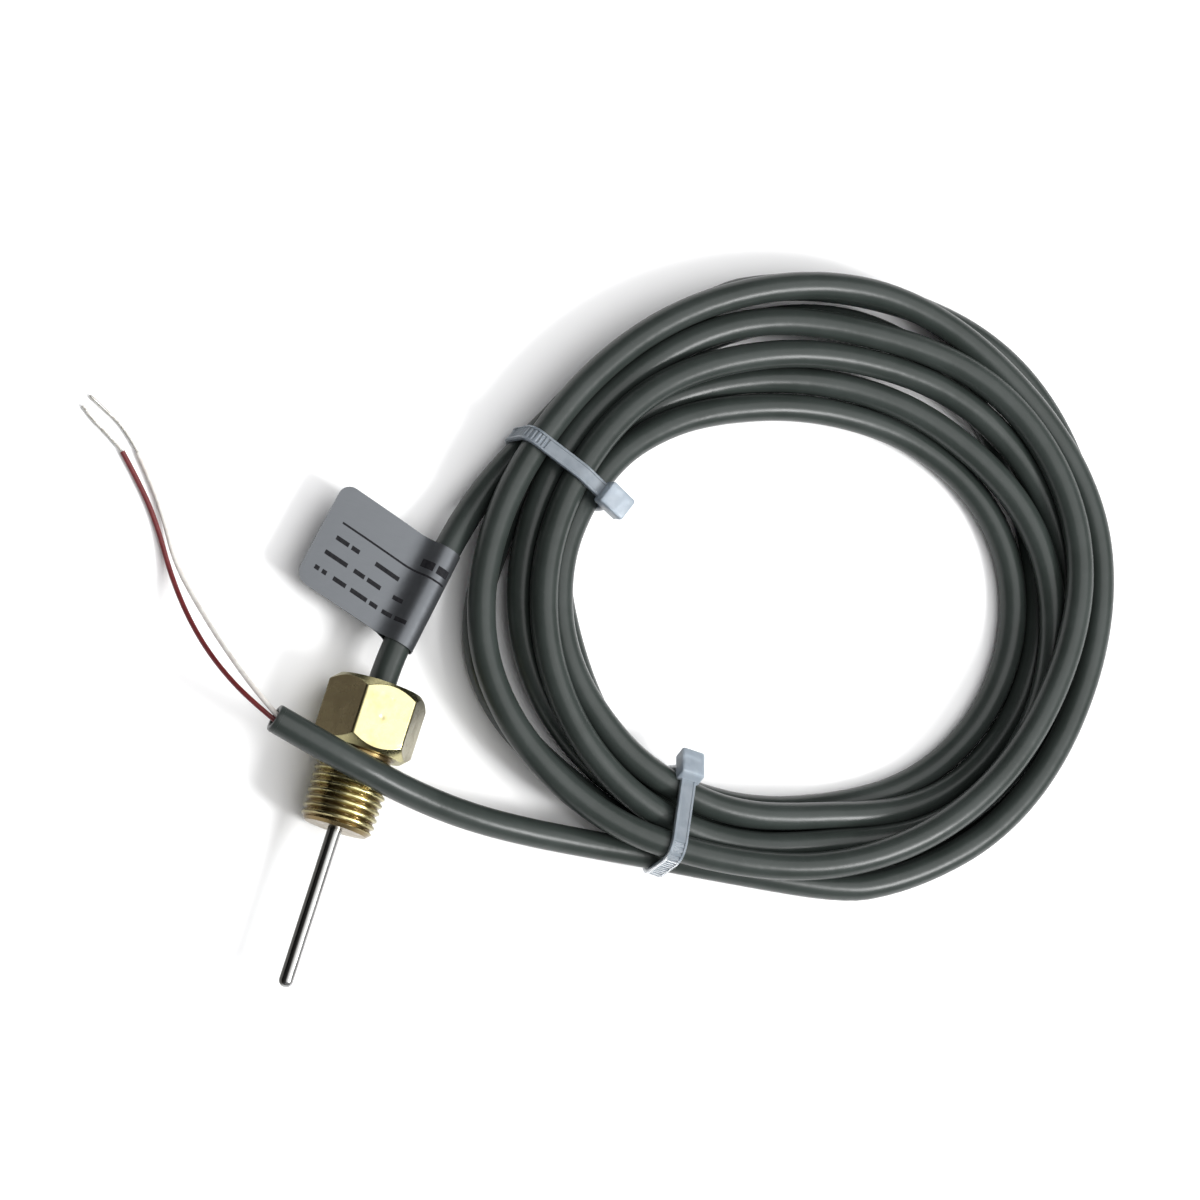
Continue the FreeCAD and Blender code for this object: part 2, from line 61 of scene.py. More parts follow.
WHITE_ROUTE = [
    (-18.3, 14.75, 18.1), (-22.2, 17.2, 16.9), (-26.9, 21.4, 13.0), (-31.9, 26.6, 8.4),
    (-36.6, 32.0, 4.1), (-40.4, 36.6, 1.9), (-43.6, 42.0, 1.0), (-47.8, 47.6, 0.62), (-52.0, 51.9, 0.6)]
RED_TIN_ROUTE = [(-54.6, 51.1, 0.6), (-58.0, 53.0, 0.5), (-61.3, 54.4, 0.5), (-63.8, 56.2, 0.5)]
WHITE_TIN_ROUTE = [(-52.0, 51.9, 0.6), (-55.0, 54.6, 0.5), (-58.9, 56.6, 0.5), (-63.0, 58.2, 0.5)]

# The coil: for each of the six and a half turns, its distance from the coil's centre at twelve
# stations, clockwise from 120 degrees, and its layer there (0 on the table, 2 on top).
COIL_CENTRE = (67.0, 68.0)
FIRST_STATION = 120
STATION_STEP = 30
POINTS_PER_STATION = 3
TURNS = [
    ([55, 59, 65, 65, 61.5, 59, 53.2, 51.2, 52.5, 59.5, 55, 52],
     [0, 0, 0, 0, 0, 0, 0, 0, 0, 0, 0, 0]),
    ([52, 54, 53.5, 51.5, 51.2, 47.8, 40, 39.5, 40.5, 43.5, 41.5, 37.5],
     [0, 0, 0, 0, 0, 0, 1, 2, 2, 2, 1, 0]),
    ([34.5, 36, 41, 46.4, 46.4, 43, 38.5, 37.5, 38.5, 39, 41, 40.5],
     [0, 0, 0, 0, 0, 0, 0, 0, 0, 0, 0, 1]),
    ([38.5, 39.5, 44.5, 52, 53.6, 50, 44, 46, 47.5, 48, 48, 47],
     [1, 1, 1, 1, 1, 1, 2, 1, 1, 1, 1, 2]),
    ([44.5, 46, 51.5, 56, 56.3, 53, 46, 45.5, 48.5, 51, 50, 49],
     [2, 2, 2, 1, 0, 0, 0, 0, 0, 0, 0, 1]),
    ([49.5, 50, 55.5, 56.8, 52.6, 50, 48.5, 49, 55, 60, 57, 53.5],
     [1, 2, 2, 2, 2, 2, 2, 2, 2, 1, 2, 2]),
    ([54.5, 58.5, 60.5, 64, 61.2, 59, 54.5],
     [1, 1, 1, 1, 1.3, 1, 0]),
]
# The coil's outline as seen from the camera: inner and outer radii every 15 degrees from +X.
INNER_OUTLINE = [42.1, 43.2, 42.0, 40.4, 36.4, 33.7, 31.8, 31.3, 31.6, 33.3, 35.5, 38.6, 40.1,
                 40.0, 40.1, 39.3, 37.6, 36.6, 36.2, 36.0, 36.1, 37.6, 39.3, 40.6, 42.1]
OUTER_OUTLINE = [62.9, 64.9, 66.0, 65.4, 66.3, 64.0, 61.3, 58.9, 57.8, 57.1, 56.8, 57.2, 60.0,
                 62.6, 64.5, 61.8, 58.8, 57.0, 55.2, 54.9, 55.9, 57.8, 60.4, 62.6, 62.9]
SIGHT_LEAN = (0.335, 0.189)
SIGHT_HEIGHT = 8.0

# How the turns settle: how many rounds, the share of them spent sinking, and how strongly each
# round sinks them, pulls them back, smooths them and pushes them apart.
SETTLING_ROUNDS = 700
SINKING_SHARE = 0.6
SINK_STEP = 0.05
PULL_SINKING = 0.03
PULL_AFTER = 0.004
SMOOTHING = 0.2
CLEARANCE = 1.02
APART_PUSH = 1.2
OUTLINE_PUSH = 0.4
SAMPLES_PER_SPAN = 4

STRAP_HALF = 0.5
# A tie holds the turns fully to half this far along them, and they lie this many straps higher.
TIE_HOLD = 8.0
TIE_PUSH = 0.5
TIE_REACH = 16.0
UNDER_TIE = 2.4
# The two ties: the middle of each one's loop, which way its outer side points, and the head's lean.
TIES = {
    "tie_left": {"centre": np.array([19.7, 74.4]), "turn": 159.5, "lean": 98.0, "span": 19.2},
    "tie_bottom": {"centre": np.array([58.2, 23.0]), "turn": 272.0, "lean": 124.0, "span": 17.8},
}


def tie_axes(tie):
    """A tie's outward and sideways directions on the table."""
    turn = math.radians(tie["turn"])
    return np.array([math.cos(turn), math.sin(turn)]), np.array([-math.sin(turn), math.cos(turn)])


# ---------------------------------------------------------------- the cable's line
def eased(values, places):
    """values at whole places, joined by half waves, read at places."""
    values = np.array(values, float)
    low = np.minimum(places.astype(int), len(values) - 2)
    share = 0.5 - 0.5 * np.cos(math.pi * (places - low))
    return values[low] * (1 - share) + values[low + 1] * share


def flowing(values, places):
    """values at whole places, joined by one smooth curve, read at places."""
    values = np.array(values, float)
    padded = np.concatenate([[2 * values[0] - values[1]], values, [2 * values[-1] - values[-2]]])
    low = np.minimum(places.astype(int), len(values) - 2)
    before, start, end, after = (padded[low + step] for step in range(4))
    share = places - low
    return start + 0.5 * share * (end - before + share * (
        2 * before - 5 * start + 4 * end - after + share * (3 * (start - end) + after - before)))


def drawn_turns():
    """Control points of the coil's turns as drawn, before they settle on each other."""
    radii = [radius for turn, _ in TURNS for radius in turn]
    layers = [layer for _, turn in TURNS for layer in turn]
    places = np.arange((len(radii) - 1) * POINTS_PER_STATION + 1) / POINTS_PER_STATION
    radius = flowing(radii, places)
    layer = eased(layers, places)
    angle = np.radians(FIRST_STATION - STATION_STEP * places)
    return np.stack([
        COIL_CENTRE[0] + radius * np.cos(angle),
        COIL_CENTRE[1] + radius * np.sin(angle),
        CABLE * (0.5 + 0.9 * layer)], axis=1)


def spline_samples(count):
    """Matrix that reads points along a quadratic spline of count control points."""
    rows = np.zeros(((count - 2) * SAMPLES_PER_SPAN, count))
    for span in range(count - 2):
        for step in range(SAMPLES_PER_SPAN):
            u = step / SAMPLES_PER_SPAN
            rows[span * SAMPLES_PER_SPAN + step, span:span + 3] = (
                0.5 * (1 - u) ** 2, 0.5 + u - u * u, 0.5 * u * u)
    return rows


def settled(points, held):
    """Lets the turns sink onto the table and onto each other, a diameter apart."""
    drawn = points.copy()
    free = ~held
    reader = spline_samples(len(points))
    spread = reader.T / SAMPLES_PER_SPAN
    apart = CABLE * CLEARANCE
    near = 3 * SAMPLES_PER_SPAN
    for step in range(SETTLING_ROUNDS):
        sinking = step < SINKING_SHARE * SETTLING_ROUNDS
        if step % 10 == 0:
            line = reader @ points
            first, second = np.triu_indices(len(line), near)
            gap = np.linalg.norm(line[first] - line[second], axis=1)
            close = gap < 2 * CABLE
            first, second = first[close], second[close]
        pull = PULL_SINKING if sinking else PULL_AFTER
        points[free, :2] += pull * (drawn[free, :2] - points[free, :2])
        if sinking:
            points[free, 2] -= SINK_STEP
        bend = np.zeros_like(points)
        shift = points - drawn
        bend[1:-1, :2] = (shift[:-2, :2] + shift[2:, :2]) / 2 - shift[1:-1, :2]
        bend[1:-1, 2] = (points[:-2, 2] + points[2:, 2]) / 2 - points[1:-1, 2]
        points[free] += SMOOTHING * bend[free]
        line = reader @ points
        between = line[second] - line[first]
        gap = np.maximum(np.linalg.norm(between, axis=1), 0.01)
        deep = gap < apart
        push = between[deep] * ((apart - gap[deep]) / gap[deep] / 2)[:, None]
        moved = np.zeros_like(line)
        np.add.at(moved, second[deep], push)
        np.add.at(moved, first[deep], -push)
        points[free] += (APART_PUSH * spread @ moved)[free]
        seen = points[:, :2] + (points[:, 2:] - SIGHT_HEIGHT) * SIGHT_LEAN - COIL_CENTRE
        reach = np.linalg.norm(seen, axis=1)
        place = np.degrees(np.arctan2(seen[:, 1], seen[:, 0])) % 360 / 15
        inner = eased(INNER_OUTLINE, place) + CABLE / 2
        outer = eased(OUTER_OUTLINE, place) - CABLE / 2
        excess = (reach - np.clip(reach, inner, outer)) / reach
        points[free, :2] -= (OUTLINE_PUSH * excess[:, None] * seen)[free]
        for tie in TIES.values():
            outward, sideways = tie_axes(tie)
            off = points[:, :2] - tie["centre"]
            out = off @ outward
            near_tie = np.clip(1.5 - np.abs(off @ sideways) / TIE_HOLD, 0.0, 1.0) * (np.abs(out) < TIE_REACH)
            excess = out - np.clip(out, (CABLE - tie["span"]) / 2, (tie["span"] - CABLE) / 2)
            points[free, :2] -= (TIE_PUSH * near_tie * excess)[free, None] * outward
            under = CABLE / 2 + UNDER_TIE * STRAP_HALF * near_tie
            points[free, 2] = np.maximum(points[free, 2], under[free])
        points[free, 2] = np.maximum(points[free, 2], CABLE / 2)
    return points


def cable_points():
    """The whole cable's control points: out of the fitting, round the coil, along the tail."""
    lead = np.array(LEAD_ROUTE)
    turns = drawn_turns()
    tail = np.array(TAIL_ROUTE)
    points = np.concatenate([lead, turns, tail])
    held = np.zeros(len(points), bool)
    held[:len(lead) - 1] = True
    held[1 - len(tail):] = True
    return settled(points, held)


def curve_line(name, points, diameter):
    """A cord as one open spline that has the given control points."""
    curve = bpy.data.curves.new(name, "CURVE")
    curve.dimensions = "3D"
    spline = curve.splines.new("NURBS")
    spline.points.add(len(points) - 1)
    for target, point in zip(spline.points, points):
        target.co = (*(float(x) * MM for x in point), 1.0)
    spline.order_u = 3
    spline.use_endpoint_u = True
    spline.resolution_u = 6
    curve.bevel_depth = diameter / 2 * MM
    curve.bevel_resolution = 6
    curve.use_fill_caps = True
    piece = bpy.data.objects.new(name, curve)
    bpy.context.collection.objects.link(piece)
    return piece


def read_line(piece):
    """The points along a curve piece's own line, in metres."""
    plain = piece.data.copy()
    plain.bevel_depth = 0
    copy = bpy.data.objects.new("line", plain)
    mesh = bpy.data.meshes.new_from_object(copy)
    line = np.array([vertex.co[:] for vertex in mesh.vertices])
    bpy.data.objects.remove(copy)
    bpy.data.meshes.remove(mesh)
    bpy.data.curves.remove(plain)
    return line


def length_of(line):
    return float(np.linalg.norm(np.diff(line, axis=0), axis=1).sum())


# ---------------------------------------------------------------- view
CAMERA_TARGET = (36.04, 56.61, 0.0)
CAMERA_LEAN = (18.5, 10.7)
CAMERA_RIGHT = (0.8879, 0.2952, 0.3529)
CAMERA_DISTANCE = 0.8
CAMERA_LENS = 134.8


def make_camera():
    """The camera looks steeply down, from the lower left of the fitting."""
    target = Vector(CAMERA_TARGET) * MM
    left, down = (math.tan(math.radians(lean)) for lean in CAMERA_LEAN)
    back = Vector((-left, -down, 1.0)).normalized()
    right = Vector(CAMERA_RIGHT)
    right = (right - right.dot(back) * back).normalized()
    up = back.cross(right)
    camera = bpy.data.objects.new("camera", bpy.data.cameras.new("camera"))
    turn = Matrix((right, up, back)).transposed()
    camera.matrix_world = Matrix.Translation(target + back * CAMERA_DISTANCE) @ turn.to_4x4()
    camera.data.sensor_width = 36.0
    camera.data.lens = CAMERA_LENS
    camera.data.clip_start = 0.01
    camera.data.clip_end = 20.0
    bpy.context.collection.objects.link(camera)
    bpy.context.scene.camera = camera


# ---------------------------------------------------------------- materials
def new_material(name, color, roughness, metallic=0.0):
    """A principled material, its nodes and its surface shader."""
    material = bpy.data.materials.new(name)
    material.use_nodes = True
    nodes = material.node_tree.nodes
    shader = next(node for node in nodes if node.type == "BSDF_PRINCIPLED")
    shader.inputs["Base Color"].default_value = (*color, 1.0)
    shader.inputs["Roughness"].default_value = roughness
    shader.inputs["Metallic"].default_value = metallic
    return material, material.node_tree, shader


def place_coordinates(tree, stretch=(1.0, 1.0, 1.0)):
    """Object coordinates in millimetres, stretched along the axes."""
    source = tree.nodes.new("ShaderNodeTexCoord")
    mapping = tree.nodes.new("ShaderNodeMapping")
    mapping.inputs["Scale"].default_value = [1000.0 * share for share in stretch]
    tree.links.new(source.outputs["Object"], mapping.inputs["Vector"])
    return mapping.outputs["Vector"]


def noise(tree, vector, scale, detail=3.0, roughness=0.5):
    """A noise value, scale to the millimetre."""
    node = tree.nodes.new("ShaderNodeTexNoise")
    node.inputs["Scale"].default_value = scale
    node.inputs["Detail"].default_value = detail
    node.inputs["Roughness"].default_value = roughness
    tree.links.new(vector, node.inputs["Vector"])
    return node.outputs["Fac"]


def ranged(tree, value, low, high, out_low, out_high):
    """Value from low to high, turned into out_low to out_high."""
    node = tree.nodes.new("ShaderNodeMapRange")
    for name, number in (("From Min", low), ("From Max", high), ("To Min", out_low), ("To Max", out_high)):
        node.inputs[name].default_value = number
    tree.links.new(value, node.inputs["Value"])
    return node.outputs["Result"]


def blended(tree, factor, first, second):
    """Two colours mixed by a factor; either may be a socket."""
    node = tree.nodes.new("ShaderNodeMix")
    node.data_type = "RGBA"
    tree.links.new(factor, node.inputs[0])
    for socket, color in ((node.inputs[6], first), (node.inputs[7], second)):
        if hasattr(color, "is_linked"):
            tree.links.new(color, socket)
        else:
            socket.default_value = (*color, 1.0)
    return node.outputs[2]


def bump(tree, height, depth, normal=None):
    """Bump of a height value, depth in millimetres."""
    node = tree.nodes.new("ShaderNodeBump")
    node.inputs["Strength"].default_value = 1.0
    node.inputs["Distance"].default_value = depth * MM
    tree.links.new(height, node.inputs["Height"])
    if normal is not None:
        tree.links.new(normal, node.inputs["Normal"])
    return node.outputs["Normal"]


# Directions on the object: the brass and the steel get painted shade on faces turned towards them.
TOWARDS_LEFT = (-0.90, 0.0, 0.44)
TOWARDS_RIGHT = (0.90, 0.0, 0.44)


def facing(tree, direction):
    """How far the surface faces a direction on the object, from -1 to 1."""
    source = tree.nodes.new("ShaderNodeTexCoord")
    along = tree.nodes.new("ShaderNodeVectorMath")
    along.operation = "DOT_PRODUCT"
    along.inputs[1].default_value = direction
    tree.links.new(source.outputs["Normal"], along.inputs[0])
    return along.outputs["Value"]


def make_brass():
    """Machined brass: turning marks, stains, grime and painted shade near the axis, painted shade darkening
    its left and right sides.
    """
    material, tree, shader = new_material("brass", (0.78, 0.62, 0.30), 0.25, 1.0)
    plain = place_coordinates(tree)
    turned = place_coordinates(tree, (0.15, 6.0, 0.15))
    patches = noise(tree, plain, 0.28, 4.0, 0.6)
    stain = ranged(tree, patches, 0.52, 0.78, 0.0, 0.55)
    clean = blended(tree, noise(tree, plain, 1.1, 3.0), (0.52, 0.49, 0.27), (0.46, 0.41, 0.21))
    body = blended(tree, stain, clean, (0.30, 0.23, 0.11))
    # Painted shade: faces turned to the left and to the right are darkened in the base colour.
    left_painted_shade = ranged(tree, facing(tree, TOWARDS_LEFT), 0.45, 0.97, 0.0, 0.92)
    body = blended(tree, left_painted_shade, body, (0.050, 0.036, 0.020))
    right_painted_shade = ranged(tree, facing(tree, TOWARDS_RIGHT), 0.70, 0.97, 0.0, 0.60)
    body = blended(tree, right_painted_shade, body, (0.070, 0.052, 0.028))
    # Grime and painted shade: the base colour is darkened close to the axis, in the thread roots and the
    # neck.
    across = tree.nodes.new("ShaderNodeVectorMath")
    across.operation = "MULTIPLY_ADD"
    across.inputs[1].default_value = (1.0, 0.0, 1.0)
    across.inputs[2].default_value = (0.0, 0.0, -AXIS_HEIGHT)
    tree.links.new(plain, across.inputs[0])
    reach = tree.nodes.new("ShaderNodeVectorMath")
    reach.operation = "LENGTH"
    tree.links.new(across.outputs["Vector"], reach.inputs[0])
    grime_and_painted_shade = ranged(tree, reach.outputs["Value"], 6.0, 6.5, 0.9, 0.0)
    tree.links.new(blended(tree, grime_and_painted_shade, body, (0.16, 0.11, 0.05)), shader.inputs["Base Color"])
    marks = noise(tree, turned, 1.6, 2.0)
    tree.links.new(ranged(tree, patches, 0.3, 0.8, 0.20, 0.40), shader.inputs["Roughness"])
    fine = bump(tree, marks, 0.006)
    tree.links.new(bump(tree, noise(tree, plain, 2.2, 4.0), 0.012, fine), shader.inputs["Normal"])
    return material


def make_steel():
    """Drawn stainless tube with faint marks along it and painted shade darkening its left side."""
    material, tree, shader = new_material("stainless", (0.60, 0.59, 0.57), 0.2, 1.0)
    drawn = place_coordinates(tree, (5.0, 0.12, 5.0))
    marks = noise(tree, drawn, 1.5, 3.0)
    tree.links.new(ranged(tree, marks, 0.3, 0.7, 0.14, 0.30), shader.inputs["Roughness"])
    tint = ranged(tree, noise(tree, place_coordinates(tree), 0.2, 2.0), 0.45, 0.75, 0.0, 0.6)
    steel = blended(tree, tint, (0.34, 0.34, 0.335), (0.28, 0.275, 0.26))
    # Painted shade: the tube's left side is darkened in the base colour.
    dull_and_painted_shade = ranged(tree, facing(tree, TOWARDS_LEFT), 0.40, 0.75, 0.0, 0.93)
    tree.links.new(blended(tree, dull_and_painted_shade, steel, (0.04, 0.038, 0.034)), shader.inputs["Base Color"])
    tree.links.new(bump(tree, marks, 0.004), shader.inputs["Normal"])
    return material


def make_jacket():
    """Grey-green PVC: satin, slightly mottled, with faint dust and scuffs."""
    material, tree, shader = new_material("cable_jacket", (0.09, 0.10, 0.095), 0.4)
    plain = place_coordinates(tree)
    cloud = noise(tree, plain, 0.09, 4.0, 0.6)
    cloudy = ranged(tree, cloud, 0.35, 0.65, 0.0, 1.0)
    body = blended(tree, cloudy, (0.022, 0.028, 0.025), (0.030, 0.037, 0.034))
    dust = ranged(tree, noise(tree, plain, 1.3, 6.0, 0.7), 0.60, 0.78, 0.0, 0.35)
    tree.links.new(blended(tree, dust, body, (0.060, 0.066, 0.063)), shader.inputs["Base Color"])
    tree.links.new(ranged(tree, cloud, 0.3, 0.7, 0.29, 0.35), shader.inputs["Roughness"])
    shader.inputs["Specular IOR Level"].default_value = 0.28
    grain = bump(tree, noise(tree, plain, 5.0, 3.0, 0.6), 0.004)
    tree.links.new(bump(tree, noise(tree, plain, 0.30, 2.0), 0.06, grain), shader.inputs["Normal"])
    return material


def make_core(name, color, worn):
    """Insulation of a thin core, a little worn."""
    material, tree, shader = new_material(name, color, 0.38)
    plain = place_coordinates(tree)
    patch = ranged(tree, noise(tree, plain, 0.9, 4.0), 0.4, 0.7, 0.0, 1.0)
    tree.links.new(blended(tree, patch, color, worn), shader.inputs["Base Color"])
    tree.links.new(bump(tree, noise(tree, plain, 3.0, 3.0), 0.01), shader.inputs["Normal"])
    return material


def make_metal(name, color, dull_and_painted_shade, roughness):
    """Cast, plated or drawn metal with dull patches."""
    material, tree, shader = new_material(name, color, roughness, 1.0)
    plain = place_coordinates(tree)
    patch = noise(tree, plain, 2.0, 4.0, 0.6)
    body = blended(tree, ranged(tree, patch, 0.4, 0.7, 0.0, 1.0), color, dull_and_painted_shade)
    uneven = ranged(tree, patch, 0.3, 0.7, roughness * 0.7, roughness * 1.3)
    tree.links.new(body, shader.inputs["Base Color"])
    tree.links.new(uneven, shader.inputs["Roughness"])
    tree.links.new(bump(tree, noise(tree, plain, 6.0, 3.0), 0.008), shader.inputs["Normal"])
    return material


def make_plain(name, color, other, roughness, grain, depth):
    """Moulded, pressed or poured matter, mottled between two colours."""
    material, tree, shader = new_material(name, color, roughness)
    plain = place_coordinates(tree)
    cloud = ranged(tree, noise(tree, plain, grain, 4.0), 0.35, 0.65, 0.0, 1.0)
    tree.links.new(blended(tree, cloud, color, other), shader.inputs["Base Color"])
    tree.links.new(bump(tree, noise(tree, plain, 3 * grain, 4.0), depth), shader.inputs["Normal"])
    return material


def make_nylon(name, clear, milky):
    """Natural nylon: milky, lets light through, glossy where it bends."""
    material, tree, shader = new_material(name, clear, 0.3)
    plain = place_coordinates(tree)
    cloud = ranged(tree, noise(tree, plain, 0.6, 3.0), 0.35, 0.65, 0.0, 1.0)
    tree.links.new(blended(tree, cloud, clear, milky), shader.inputs["Base Color"])
    shader.inputs["Subsurface Weight"].default_value = 0.5
    shader.inputs["Subsurface Radius"].default_value = (1.0, 1.0, 1.0)
    shader.inputs["Subsurface Scale"].default_value = 0.8 * MM
    shader.inputs["Transmission Weight"].default_value = 0.35
    shader.inputs["IOR"].default_value = 1.45
    tree.links.new(bump(tree, noise(tree, plain, 1.2, 2.0), 0.02), shader.inputs["Normal"])
    return material


def make_foil():
    """Silvered polyester label, satin, faintly streaked from its roll."""
    material, tree, shader = new_material("foil", (0.09, 0.094, 0.10), 0.38, 0.75)
    plain = place_coordinates(tree)
    streak = noise(tree, place_coordinates(tree, (0.3, 4.0, 0.3)), 1.0, 3.0)
    body = blended(tree, streak, (0.090, 0.096, 0.104), (0.102, 0.108, 0.116))
    tree.links.new(body, shader.inputs["Base Color"])
    tree.links.new(ranged(tree, streak, 0.3, 0.7, 0.36, 0.40), shader.inputs["Roughness"])
    tree.links.new(bump(tree, noise(tree, plain, 0.35, 2.0), 0.05), shader.inputs["Normal"])
    return material


def make_ink():
    """Matt black print."""
    ink = make_plain("ink", (0.008, 0.008, 0.010), (0.016, 0.016, 0.018), 0.7, 2.0, 0.002)
    shader = next(node for node in ink.node_tree.nodes if node.type == "BSDF_PRINCIPLED")
    shader.inputs["Specular IOR Level"].default_value = 0.12
    return ink


FLATS = 16.0
AXIS_HEIGHT = FLATS / 2
MATERIALS = {
    "brass": make_brass(),
    "stainless": make_steel(),
    "cable_jacket": make_jacket(),
    "core_red": make_core("core_red", (0.115, 0.007, 0.009), (0.15, 0.015, 0.016)),
    "core_white": make_core("core_white", (0.72, 0.70, 0.66), (0.62, 0.57, 0.53)),
    "nylon": make_nylon("nylon", (0.38, 0.44, 0.50), (0.46, 0.52, 0.58)),
    "foil": make_foil(),
    "tinned_wire": make_metal("tinned_wire", (0.66, 0.65, 0.62), (0.40, 0.38, 0.34), 0.3),
    "solder": make_metal("solder", (0.70, 0.70, 0.68), (0.52, 0.52, 0.50), 0.35),
    "platinum": make_metal("platinum", (0.70, 0.68, 0.64), (0.55, 0.53, 0.50), 0.3),
    "copper": make_metal("copper", (0.80, 0.42, 0.26), (0.50, 0.24, 0.14), 0.3),
    "crimp": make_metal("crimp", (0.68, 0.68, 0.67), (0.50, 0.50, 0.48), 0.3),
    "ceramic": make_plain("ceramic", (0.80, 0.79, 0.76), (0.72, 0.71, 0.68), 0.5, 3.0, 0.01),
    "glass_cap": make_plain("glass_cap", (0.10, 0.16, 0.28), (0.14, 0.20, 0.32), 0.12, 2.0, 0.003),
    "sleeve": make_plain("sleeve", (0.03, 0.03, 0.03), (0.05, 0.05, 0.05), 0.45, 2.0, 0.02),
    "insulator": make_plain("insulator", (0.75, 0.72, 0.62), (0.66, 0.62, 0.52), 0.5, 3.0, 0.01),
    "powder": make_plain("powder", (0.86, 0.85, 0.82), (0.76, 0.75, 0.72), 0.9, 6.0, 0.05),
    "resin": make_plain("resin", (0.035, 0.035, 0.04), (0.06, 0.06, 0.06), 0.25, 0.8, 0.02),
    "bush": make_plain("bush", (0.018, 0.018, 0.018), (0.03, 0.03, 0.03), 0.6, 2.0, 0.02),
}
NYLON_STRAP = make_nylon("nylon_strap", (0.24, 0.28, 0.32), (0.30, 0.34, 0.38))
INK = make_ink()


def dress_frame():
    """Gives every CAD node the material of its slot."""
    for part in frame["record"]["subparts"]:
        node = frame["nodes"][part["node"]]
        for holder in node.material_slots:
            holder.link = "OBJECT"
            holder.material = MATERIALS[part["material_slot"]]


# ---------------------------------------------------------------- mesh work
def place_piece(name, data, slot, replaced=(), material=None):
    """A piece on the part's one body, in the finish of its slot."""
    piece = bpy.data.objects.new(name, data)
    bpy.context.collection.objects.link(piece)
    data.materials.append(material or MATERIALS[slot])
    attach(piece, "root")
    if replaced:
        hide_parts(*replaced)
    return piece


def grid_faces(rows, columns, round_columns=True, round_rows=False):
    """Quads between rows of points."""
    faces = []
    for row in range(rows if round_rows else rows - 1):
        near = row * columns
        far = (row + 1) % rows * columns
        for column in range(columns if round_columns else columns - 1):
            right = (column + 1) % columns
            faces.append((near + column, near + right, far + right, far + column))
    return faces


def solid_mesh(name, points, faces, crease=40.0):
    """A closed mesh from points in millimetres, normals outward, sharp past the crease angle."""
    work = bmesh.new()
    corners = [work.verts.new(Vector(point) * MM) for point in np.asarray(points, float)]
    for face in faces:
        work.faces.new([corners[index] for index in face])
    bmesh.ops.remove_doubles(work, verts=work.verts, dist=0.0005 * MM)
    bmesh.ops.recalc_face_normals(work, faces=work.faces)
    mesh = bpy.data.meshes.new(name)
    work.to_mesh(mesh)
    work.free()
    mesh.shade_smooth()
    mesh.set_sharp_from_angle(angle=math.radians(crease))
    return mesh


def across_frame(direction):
    """Two unit vectors square to a direction and to each other."""
    direction = direction / np.linalg.norm(direction)
    side = np.cross(direction, (0.0, 0.0, 1.0))
    if np.linalg.norm(side) < 0.1:
        side = np.cross(direction, (1.0, 0.0, 0.0))
    side /= np.linalg.norm(side)
    return side, np.cross(side, direction)


def revolved(name, profile, origin, direction, segments=64, crease=40.0):
    """A turned piece: profile points are (along, radius), closed where the radius is nought."""
    direction = np.array(direction, float) / np.linalg.norm(direction)
    side, up = across_frame(direction)
    angle = 2 * math.pi * np.arange(segments) / segments
    circle = np.outer(np.cos(angle), side) + np.outer(np.sin(angle), up)
    rings = [np.array(origin, float) + along * direction + radius * circle for along, radius in profile]
    closed = profile[0][1] > 0
    faces = grid_faces(len(rings), segments, round_rows=closed)
    return solid_mesh(name, np.concatenate(rings), faces, crease)


def tube_rings(line, outline):
    """Rings of outline points, (across, up) pairs, carried along a line without twist."""
    steps = np.gradient(line, axis=0)
    steps /= np.linalg.norm(steps, axis=1)[:, None]
    side, up = across_frame(steps[0])
    rings = []
    for point, step in zip(line, steps):
        side = side - side.dot(step) * step
        side /= np.linalg.norm(side)
        up = np.cross(side, step)
        rings.append(point + np.outer(outline[:, 0], side) + np.outer(outline[:, 1], up))
    return np.array(rings)


def capped_tube(rings):
    """Points and faces of a tube with flat ends."""
    count, around = rings.shape[:2]
    faces = grid_faces(count, around)
    faces.append(tuple(range(around)))
    faces.append(tuple(range((count - 1) * around, count * around)))
    return rings.reshape(-1, 3), faces


def joined(parts):
    """Several points-and-faces pairs made one."""
    points, faces, start = [], [], 0
    for part_points, part_faces in parts:
        points.append(part_points)
        faces += [tuple(index + start for index in face) for face in part_faces]
        start += len(part_points)
    return np.concatenate(points), faces


def circle_outline(radius, count):
    angle = 2 * math.pi * np.arange(count) / count
    return radius * np.stack([np.cos(angle), np.sin(angle)], axis=1)


def along_line(line, distances):
    """Points at distances along a line."""
    run = np.concatenate([[0.0], np.cumsum(np.linalg.norm(np.diff(line, axis=0), axis=1))])
    return np.stack([np.interp(distances, run, line[:, axis]) for axis in range(line.shape[1])], axis=1)


# ---------------------------------------------------------------- brass fitting and probe
SMALL_END = 1.25
THREAD_LENGTH = 13.0
NECK_LENGTH = 1.0
HEX_LENGTH = 12.0
MOUTH = SMALL_END + THREAD_LENGTH + NECK_LENGTH + HEX_LENGTH
HEX_CHAMFER = 1.8
CORNER_RADIUS = 9.13
FACE_RADIUS = FLATS / math.sqrt(3) - HEX_CHAMFER
NECK_RADIUS = 5.7
CREST_SMALL = 6.39
CREST_SLOPE = math.tan(math.radians(1.79))
PITCH = 1.337
GROOVE_DEPTH = 0.66
GROOVE_HALF = 0.50
ROOT_ROUND = 0.07
LEAD_IN = 0.9
CAVITY_RADIUS = 3.5
BORE_RADIUS = 1.25
CAVITY_FLOOR = 3.5
AROUND = 288
